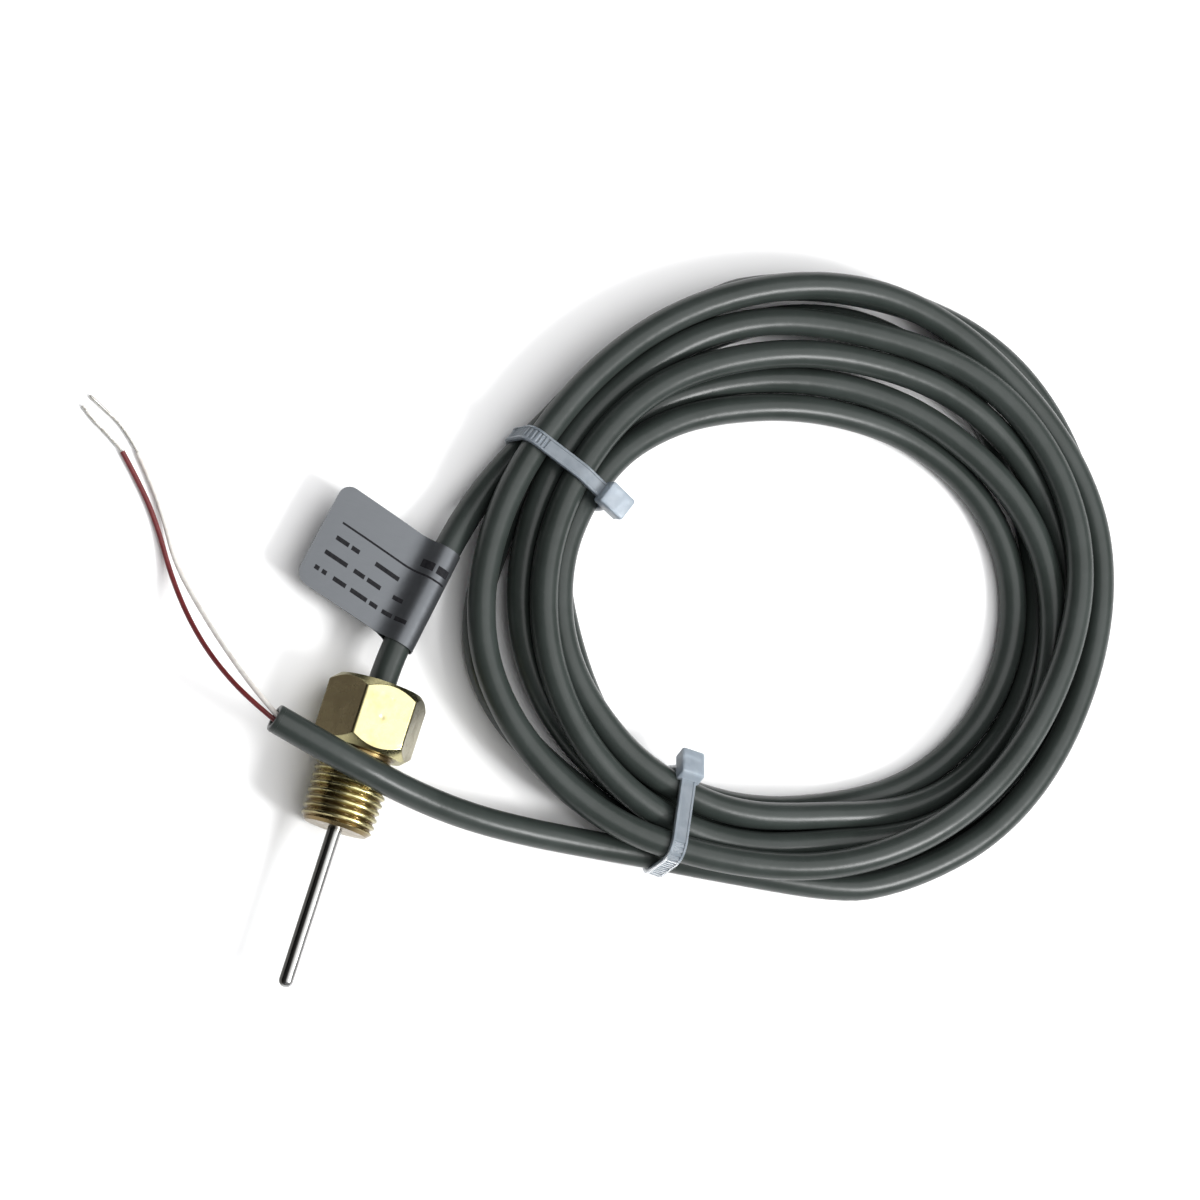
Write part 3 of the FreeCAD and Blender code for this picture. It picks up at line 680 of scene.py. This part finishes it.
# Nicks in the hexagon's faces: angle in degrees, place along the axis, width and depth.
NICKS = [(93, 21.0, 0.30, 0.14), (86, 24.6, 0.22, 0.06), (99, 24.9, 0.5, 0.05), (78, 19.2, 0.7, 0.04),
         (104, 18.2, 0.4, 0.04), (34, 22.0, 0.5, 0.05), (148, 20.5, 0.8, 0.05), (62, 17.2, 0.35, 0.10)]


def hexagon_radius(angle):
    """Distance from the axis to the hexagon bar's surface, its corners slightly rounded."""
    off_flat = (angle % (math.pi / 3)) - math.pi / 6
    return np.minimum(FLATS / 2 / np.cos(off_flat), CORNER_RADIUS)


def thread_radius(place, angle):
    """Distance from the axis to the taper thread's surface, a right-hand V groove."""
    crest = CREST_SMALL + (place - SMALL_END) * CREST_SLOPE
    lead = CREST_SMALL - LEAD_IN + (place - SMALL_END)
    end = SMALL_END + THREAD_LENGTH
    runout = CREST_SMALL + THREAD_LENGTH * CREST_SLOPE - 1.8 * (place - end + 0.4)
    turn = (place - SMALL_END + 0.5 * PITCH) / PITCH + angle / (2 * math.pi)
    off_root = np.abs(turn % 1.0 - 0.5) * PITCH
    depth = GROOVE_DEPTH - np.hypot(GROOVE_DEPTH * off_root / GROOVE_HALF, ROOT_ROUND)
    return np.minimum(np.minimum(crest - np.maximum(depth, 0.0), max(lead, NECK_RADIUS - 0.9)),
                      max(runout, NECK_RADIUS))


def make_fitting():
    """One brass turning: bore, hexagon with both ends chamfered, neck and taper thread."""
    angle = 2 * math.pi * np.arange(AROUND) / AROUND
    flat = np.ones(AROUND)
    rings = [(SMALL_END + 0.15, BORE_RADIUS * flat), (SMALL_END + CAVITY_FLOOR, BORE_RADIUS * flat),
             (SMALL_END + CAVITY_FLOOR, CAVITY_RADIUS * flat), (MOUTH - 0.3, CAVITY_RADIUS * flat),
             (MOUTH, (CAVITY_RADIUS + 0.3) * flat), (MOUTH, (FACE_RADIUS - 0.1) * flat)]
    depths = np.concatenate([np.linspace(0.0, 1.8, 25), np.linspace(1.8, HEX_LENGTH - 1.8, 60)[1:-1],
                             np.linspace(HEX_LENGTH - 1.8, HEX_LENGTH, 25)])
    for depth in depths:
        place = MOUTH - depth
        limit = FACE_RADIUS + min(depth, HEX_LENGTH - depth)
        radius = np.minimum(hexagon_radius(angle), limit)
        for turn, spot, width, deep in NICKS:
            off = radius * (np.mod(angle - math.radians(turn) + math.pi, 2 * math.pi) - math.pi)
            radius = radius - deep * np.exp(-(off ** 2 + (place - spot) ** 2) / (2 * width ** 2))
        rings.append((place, radius))
    foot = MOUTH - HEX_LENGTH
    rings += [(foot, (NECK_RADIUS + 0.15) * flat), (foot - 0.15, NECK_RADIUS * flat)]
    for place in np.linspace(foot - 0.4, SMALL_END, 168):
        rings.append((place, thread_radius(place, angle)))
    rings.append((SMALL_END, (BORE_RADIUS + 0.15) * flat))
    points = [np.stack([radius * np.cos(angle), place * flat, AXIS_HEIGHT + radius * np.sin(angle)], axis=1)
              for place, radius in rings]
    faces = grid_faces(len(rings), AROUND, round_rows=True)
    mesh = solid_mesh("brass_fitting", np.concatenate(points), faces, 32.0)
    return place_piece("brass_fitting", mesh, "brass", ["fitting_body"])


SHEATH_RADIUS = 1.25
SHEATH_WALL = 0.2
TIP = -27.25
SHEATH_END = 6.25


def make_sheath():
    """Thin stainless tube, its tip drawn round and closed."""
    def dome(radius):
        turns = np.linspace(0.0, math.pi / 2, 14)
        centre = TIP + SHEATH_RADIUS
        return [(centre - radius * math.cos(turn), radius * math.sin(turn)) for turn in turns]
    inner = dome(SHEATH_RADIUS - SHEATH_WALL)
    outer = dome(SHEATH_RADIUS)
    inner[0] = (inner[0][0], 0.0)
    outer[0] = (outer[0][0], 0.0)
    profile = inner + [(SHEATH_END, SHEATH_RADIUS - SHEATH_WALL), (SHEATH_END, SHEATH_RADIUS - 0.04),
                       (SHEATH_END - 0.04, SHEATH_RADIUS)] + outer[::-1]
    mesh = revolved("steel_sheath", profile, (0, 0, AXIS_HEIGHT), (0, 1, 0), 72)
    return place_piece("steel_sheath", mesh, "stainless", ["probe_sheath"])


# ---------------------------------------------------------------- cut end, cores and bare wires
def make_cut_end(line):
    """The jacket's cut end: a thin wall round a short dark hollow."""
    end = line[-1]
    direction = line[-1] - line[-3]
    radius = CABLE / 2
    profile = [(0.02, 0.0), (0.02, 1.5), (0.75, 1.62), (0.9, 1.75), (0.92, 2.2), (0.8, 2.4), (0.5, radius),
               (0.0, radius), (0.0, 0.0)]
    mesh = revolved("jacket_cut_end", profile, end, direction, 48)
    return place_piece("jacket_cut_end", mesh, "cable_jacket")


STRANDS = 6
STRAND_RADIUS = 0.09
LAY = 3.2
SOLDER_RADIUS = 0.30


def make_bare_end(name, route, replaced, dipped):
    """Twisted tinned strands; the last part is dipped in solder."""
    guide = curve_line("guide", route, CORE)
    line = read_line(guide) / MM
    bpy.data.curves.remove(guide.data)
    total = length_of(line)
    places = np.arange(0.0, total, 0.2)
    centre = along_line(line, places)
    parts = []
    for strand in range(STRANDS + 1):
        turn = 2 * math.pi * (places / LAY + strand / STRANDS)
        reach = 0.0 if strand == STRANDS else 1.9 * STRAND_RADIUS
        sides = tube_rings(centre, np.array([[1.0, 0.0], [0.0, 1.0]]))
        across = sides[:, 0] - centre
        up = sides[:, 1] - centre
        path = centre + reach * (np.cos(turn)[:, None] * across + np.sin(turn)[:, None] * up)
        parts.append(capped_tube(tube_rings(path, circle_outline(STRAND_RADIUS, 8))))
    if dipped:
        places = np.linspace(total * (1 - dipped), total + 0.15, 30)
        share = np.linspace(0.0, 1.0, 30)
        swell = (SOLDER_RADIUS * np.minimum(1.0, (share * 12) ** 0.5)
                 * np.minimum(1.0, ((1 - share) * 10 + 0.05) ** 0.5))
        centre = along_line(line, places)
        centre[-1] += (line[-1] - line[-2]) / np.linalg.norm(line[-1] - line[-2]) * 0.1
        rings = tube_rings(centre, circle_outline(1.0, 14))
        rings = centre[:, None] + (rings - centre[:, None]) * swell[:, None, None]
        parts.append(capped_tube(rings))
    points, faces = joined(parts)
    mesh = solid_mesh(name, points, faces, 60.0)
    return place_piece(name, mesh, "tinned_wire", replaced)


# ---------------------------------------------------------------- ties
STRAP_WIDTH = 2.9
RUNG_PITCH = 0.8
HEAD_LENGTH = 5.6
HEAD_WIDTH = 4.5
HEAD_HEIGHT = 3.2
HEAD_CORNER = 0.7
BUNDLE_REACH = 14.0


def bundle_section(line, tie):
    """Where the cable's line goes through a tie's plane: (outward, up) pairs."""
    outward, sideways = tie_axes(tie)
    off = line[:, :2] - tie["centre"]
    across = off @ sideways
    out = off @ outward
    hits = np.where(across[:-1] * across[1:] <= 0)[0]
    share = (across[hits] / (across[hits] - across[hits + 1]))[:, None]
    points = np.stack([out, line[:, 2]], axis=1)
    section = points[hits] * (1 - share) + points[hits + 1] * share
    return section[np.abs(section[:, 0]) < BUNDLE_REACH]


def strap_point(section, angle):
    """Where a strap pulled round the section lies, for an outward angle, and that direction."""
    normal = np.array([math.cos(angle), math.sin(angle)])
    far = section[np.argmax(section @ normal)]
    return far + normal * (CABLE / 2 + STRAP_HALF + 0.03), normal


def strap_profile(depth):
    """Strap section as (sideways, outward) points, its outer face sunk by depth between rims."""
    half = STRAP_WIDTH / 2
    top = STRAP_HALF
    low = STRAP_HALF - depth
    right = [(half - 0.15, -top), (half, 0.15 - top), (half, top - 0.15), (half - 0.12, top),
             (half - 0.42, top), (half - 0.5, low), (0.3, low)]
    return np.array(right + [(-across, out) for across, out in right[::-1]])


def make_strap(section, tie):
    """Strap from the head, round the outside and underneath, up through the head."""
    lean = math.radians(tie["lean"])
    start, head_up = strap_point(section, lean)
    head_along = np.array([-head_up[1], head_up[0]])
    inner_side = strap_point(section, math.pi)[0][0]
    slot = start + head_along * (inner_side - start[0]) / head_along[0]
    path = [(slot - head_along * 2.4, head_up)]
    for turn in np.arange(lean, -math.pi - 0.001, -math.radians(2)):
        path.append(strap_point(section, turn))
    rising = np.array([-1.0, 0.0])
    path.append((np.array([inner_side, slot[1] - 2.6]), rising))
    path.append((slot - head_up * 0.8, rising - head_along))
    path.append((slot + head_up * (HEAD_HEIGHT - 0.9), -head_along))
    points = np.array([point for point, _ in path])
    normals = np.array([normal / np.linalg.norm(normal) for _, normal in path])
    run = np.concatenate([[0.0], np.cumsum(np.linalg.norm(np.diff(points, axis=0), axis=1))])
    keep = np.concatenate([[True], np.diff(run) > 1e-4])
    run, points, normals = run[keep], points[keep], normals[keep]
    places = np.arange(0.0, run[-1], 0.16)
    line = np.stack([np.interp(places, run, points[:, axis]) for axis in range(2)], axis=1)
    outs = np.stack([np.interp(places, run, normals[:, axis]) for axis in range(2)], axis=1)
    outs /= np.linalg.norm(outs, axis=1)[:, None]
    outward, sideways = tie_axes(tie)
    rings = []
    for place, point, out in zip(places, line, outs):
        toothed = run[-1] * 0.22 < place < run[-1] * 0.93
        depth = 0.34 if toothed and (place / RUNG_PITCH) % 1.0 > 0.5 else 0.12
        profile = strap_profile(depth)
        flat = point + np.outer(profile[:, 1], out)
        rings.append(np.concatenate([
            tie["centre"] + np.outer(flat[:, 0], outward) + np.outer(profile[:, 0], sideways),
            flat[:, 1:]], axis=1))
    return np.array(rings), slot, head_along, head_up


def box_mesh(name, size, centre, axes, corner, segments=4):
    """A box on given axes with rounded edges."""
    work = bmesh.new()
    bmesh.ops.create_cube(work, size=1.0)
    turn = Matrix((axes[0], axes[1], axes[2])).transposed().to_4x4()
    bmesh.ops.scale(work, vec=Vector(size) * MM, verts=work.verts)
    if corner:
        bmesh.ops.bevel(work, geom=work.edges[:], offset=corner * MM, segments=segments, profile=0.6,
                        affect="EDGES")
    bmesh.ops.transform(work, matrix=Matrix.Translation(Vector(centre) * MM) @ turn, verts=work.verts)
    mesh = bpy.data.meshes.new(name)
    work.to_mesh(mesh)
    work.free()
    return mesh


def carved(name, mesh, cutters):
    """A mesh minus several cutter meshes."""
    body = bpy.data.objects.new(name, mesh)
    bpy.context.collection.objects.link(body)
    helpers = []
    for cutter in cutters:
        helper = bpy.data.objects.new("cutter", cutter)
        bpy.context.collection.objects.link(helper)
        modifier = body.modifiers.new("cut", "BOOLEAN")
        modifier.operation = "DIFFERENCE"
        modifier.solver = "EXACT"
        modifier.object = helper
        helpers.append(helper)
    bpy.context.view_layer.update()
    shaped = bpy.data.meshes.new_from_object(body.evaluated_get(bpy.context.evaluated_depsgraph_get()))
    for item in [body] + helpers:
        bpy.data.objects.remove(item)
    shaped.name = name
    shaped.shade_smooth()
    shaped.set_sharp_from_angle(angle=math.radians(30))
    return shaped


def make_tie(name, tie, line):
    """A nylon tie pulled round the bundle: strap and ratchet head."""
    rings, slot, along, up = make_strap(bundle_section(line, tie), tie)
    points, faces = capped_tube(rings)
    strap = place_piece(name + "_strap", solid_mesh(name + "_strap", points, faces, 50.0), "nylon", [name],
                        NYLON_STRAP)
    outward, sideways = tie_axes(tie)

    def place(flat):
        return (*(tie["centre"] + flat[0] * outward), flat[1])

    def direction(flat):
        return Vector((*(flat[0] * outward), flat[1]))

    axes = (direction(along), Vector((*sideways, 0.0)), direction(up))
    middle = slot + up * (HEAD_HEIGHT / 2 - 0.75) - along * 0.1
    block = box_mesh("head", (HEAD_LENGTH, HEAD_WIDTH, HEAD_HEIGHT), place(middle), axes, HEAD_CORNER)
    opening = box_mesh("opening", (1.25, STRAP_WIDTH + 0.16, 9.0), place(slot), axes, 0.0, 1)
    window = box_mesh("window", (1.2, 1.7, 1.0), place(slot + along * 2.9 + up * 1.2), axes, 0.15, 1)
    head = place_piece(name + "_head", carved(name + "_head", block, [opening, window]), "nylon", [name])
    return [strap, head]


# ---------------------------------------------------------------- label
LABEL_START = (0.54, 34.8, 7.94)
LABEL_END = (3.7, 52.4, 6.9)
LABEL_WIDTH = 19.2
LABEL_REACH = 21.5
FOIL = 0.12
LABEL_HUG = CABLE / 2 + 0.32
FOLD_RADIUS = 5.0
LABEL_CORNER = 2.4


def label_section():
    """The folded foil's line across the cable, (left, up), from the top layer's edge to the lower one's."""
    rise = 0.07
    reach = math.sqrt((LABEL_HUG + FOLD_RADIUS) ** 2 - (FOLD_RADIUS + rise) ** 2)
    steep = math.atan2(FOLD_RADIUS + rise, reach)
    half = [(LABEL_REACH, rise)]
    for turn in np.linspace(0.0, math.pi / 2 - steep, 12):
        half.append((reach - FOLD_RADIUS * math.sin(turn), rise + FOLD_RADIUS * (1 - math.cos(turn))))
    for turn in np.linspace(steep, math.pi, 40)[1:]:
        half.append((LABEL_HUG * math.cos(turn), LABEL_HUG * math.sin(turn)))
    lower = [(left, -up) for left, up in half[-2::-1]]
    return np.array(half + lower)


def label_points(places, widths, lift=0.0):
    """Points of the label: places along its section, widths along the cable, lifted off the foil."""
    section = label_section()
    run = np.concatenate([[0.0], np.cumsum(np.linalg.norm(np.diff(section, axis=0), axis=1))])
    left = np.interp(places, run, section[:, 0])
    up = np.interp(places, run, section[:, 1])
    step = 0.05
    ahead, behind = places + step, places - step
    normal = np.stack([
        -(np.interp(ahead, run, section[:, 1]) - np.interp(behind, run, section[:, 1])),
        np.interp(ahead, run, section[:, 0]) - np.interp(behind, run, section[:, 0])], axis=1)
    normal /= -np.maximum(np.linalg.norm(normal, axis=1), 1e-9)[:, None]
    left = left + lift * normal[:, 0]
    up = up + lift * normal[:, 1]
    out = np.clip((left - 4.0) / (LABEL_REACH - 4.0), 0.0, 1.0)
    up = up - 0.9 * out ** 2 + 0.9 * out * (widths / LABEL_WIDTH - 0.5)
    widths = widths + 0.075 * np.maximum(left, 0.0)
    start = np.array(LABEL_START)
    along = np.array(LABEL_END) - start
    along /= np.linalg.norm(along)
    aside = np.cross((0.0, 0.0, 1.0), along)
    aside /= np.linalg.norm(aside)
    above = np.cross(along, aside)
    return start + np.outer(widths, along) + np.outer(left, aside) + np.outer(up, above)


def section_length():
    return length_of(label_section())


def rounded_off(width):
    """How far a corner's round takes the edge back at this width."""
    near = min(width, LABEL_WIDTH - width)
    if near >= LABEL_CORNER:
        return 0.0
    return LABEL_CORNER - math.sqrt(LABEL_CORNER ** 2 - (LABEL_CORNER - near) ** 2)


def thickened(name, points, rows, columns, thickness):
    """A grid of points made a closed sheet of that thickness."""
    mesh = bpy.data.meshes.new(name)
    mesh.from_pydata((points * MM).tolist(), [], grid_faces(rows, columns, round_columns=False))
    holder = bpy.data.objects.new(name, mesh)
    bpy.context.collection.objects.link(holder)
    modifier = holder.modifiers.new("thick", "SOLIDIFY")
    modifier.thickness = thickness * MM
    modifier.offset = 0.0
    bpy.context.view_layer.update()
    solid = bpy.data.meshes.new_from_object(holder.evaluated_get(bpy.context.evaluated_depsgraph_get()))
    bpy.data.objects.remove(holder)
    bpy.data.meshes.remove(mesh)
    solid.name = name
    solid.shade_smooth()
    solid.set_sharp_from_angle(angle=math.radians(50))
    return solid


def make_label():
    """Foil label folded round the cable and stuck to itself."""
    total = section_length()
    widths = np.concatenate([LABEL_CORNER * (1 - np.cos(np.linspace(0, math.pi / 2, 9))),
                             np.linspace(LABEL_CORNER, LABEL_WIDTH - LABEL_CORNER, 20)[1:-1],
                             LABEL_WIDTH - LABEL_CORNER * (1 - np.sin(np.linspace(0, math.pi / 2, 9)))])
    steps = 150
    rows = []
    for width in widths:
        back = rounded_off(width)
        rows.append(label_points(np.linspace(back, total - back - 0.35, steps), np.full(steps, width)))
    mesh = thickened("label_foil", np.concatenate(rows), len(rows), steps, FOIL)
    return place_piece("label_foil", mesh, "foil", ["label_flag"])


def printed_bar(start, length, width, height):
    """A printed bar on the label's top layer, as points and faces."""
    steps = max(2, int(length / 0.5) + 1)
    places = np.linspace(start, start + length, steps)
    corners = []
    for lift in (FOIL / 2 + 0.004, FOIL / 2 + 0.02):
        for side in (width, width + height):
            corners.append(label_points(places, np.full(steps, side), lift))
    rings = np.stack([corners[0], corners[1], corners[3], corners[2]], axis=1)
    return capped_tube(rings)


def make_print():
    """A ruled line and rows of plain bars, with no lettering."""
    bars = [printed_bar(3.0, 21.4, 12.6, 0.36)]
    rows = [(18.6, 14.0, 1.5, (2.6, 2.4)),
            (3.2, 9.6, 0.8, (2.6, 1.6)), (11.4, 9.6, 0.8, (5.0,)),
            (2.6, 6.4, 0.8, (4.6,)), (8.6, 6.4, 0.8, (2.2, 2.8)), (16.8, 6.4, 0.8, (2.0,)),
            (2.2, 3.2, 0.8, (0.9, 0.9)), (6.0, 3.2, 0.8, (2.6,)), (9.6, 3.2, 0.8, (3.4, 1.6)),
            (16.2, 3.2, 0.8, (2.0, 2.4))]
    for start, width, height, lengths in rows:
        for length in lengths:
            bars.append(printed_bar(start, length, width, height))
            start += length + 0.6
    points, faces = joined(bars)
    return place_piece("label_print", solid_mesh("label_print", points, faces), "foil", material=INK)


# ---------------------------------------------------------------- studio
def make_floor():
    """A plain, pale, matt floor."""
    mesh = bpy.data.meshes.new("floor")
    reach = 4.0
    mesh.from_pydata([(-reach, -reach, 0), (reach, -reach, 0), (reach, reach, 0), (-reach, reach, 0)], [],
                     [(0, 1, 2, 3)])
    floor = bpy.data.objects.new("floor", mesh)
    bpy.context.collection.objects.link(floor)
    material, _, _ = new_material("floor", (0.95, 0.95, 0.95), 0.9)
    mesh.materials.append(material)


def make_lamp(name, place, size, power, aim=(0.04, 0.05, 0.0)):
    """A soft square lamp aimed at the part."""
    lamp = bpy.data.lights.new(name, "AREA")
    lamp.shape = "SQUARE"
    lamp.size = size
    lamp.energy = power
    holder = bpy.data.objects.new(name, lamp)
    holder.location = place
    holder.rotation_euler = (Vector(place) - Vector(aim)).to_track_quat("Z", "Y").to_euler()
    bpy.context.collection.objects.link(holder)


def make_world():
    """Dim surroundings, darker towards the left."""
    world = bpy.data.worlds.new("studio")
    world.use_nodes = True
    tree = world.node_tree
    sky = next(node for node in tree.nodes if node.type == "BACKGROUND")
    source = tree.nodes.new("ShaderNodeTexCoord")
    tilt = tree.nodes.new("ShaderNodeVectorMath")
    tilt.operation = "DOT_PRODUCT"
    tilt.inputs[1].default_value = (0.55, -0.2, 0.8)
    tree.links.new(source.outputs["Generated"], tilt.inputs[0])
    shade = ranged(tree, tilt.outputs["Value"], -0.4, 0.9, 0.0, 1.0)
    tree.links.new(blended(tree, shade, (0.03, 0.03, 0.03), (0.55, 0.55, 0.56)), sky.inputs["Color"])
    sky.inputs["Strength"].default_value = 0.85
    bpy.context.scene.world = world
    bpy.context.scene.view_settings.view_transform = "Standard"


make_camera()
make_world()
make_floor()
make_lamp("key", place=(0.66, -0.15, 0.72), size=0.26, power=7.8)
make_lamp("ceiling", place=(0.30, 0.16, 0.95), size=1.30, power=12.0)
dress_frame()

cable_route = cable_points()
cable = curve_line("cable", cable_route, CABLE)
cable.data.materials.append(MATERIALS["cable_jacket"])
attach(cable, "root")
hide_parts("cable_lead", "cable_coil", "cable_tail")
cable_line = read_line(cable)

red = curve_line("red_core", RED_ROUTE, CORE)
white = curve_line("white_core", WHITE_ROUTE, CORE)
for piece, slot in ((red, "core_red"), (white, "core_white")):
    piece.data.materials.append(MATERIALS[slot])
    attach(piece, "root")
    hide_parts(slot)

make_fitting()
make_sheath()
cut_end = make_cut_end(cable_line / MM)
red_wire = make_bare_end("red_bare_end", RED_TIN_ROUTE, ["tinned_end_red"], 0.0)
white_wire = make_bare_end("white_bare_end", WHITE_TIN_ROUTE, ["tinned_end_white"], 0.42)
tie_pieces = [piece for name, tie in TIES.items() for piece in make_tie(name, tie, cable_line / MM)]
label = make_label()
label_print = make_print()

length_of(read_line(red))
length_of(read_line(white))
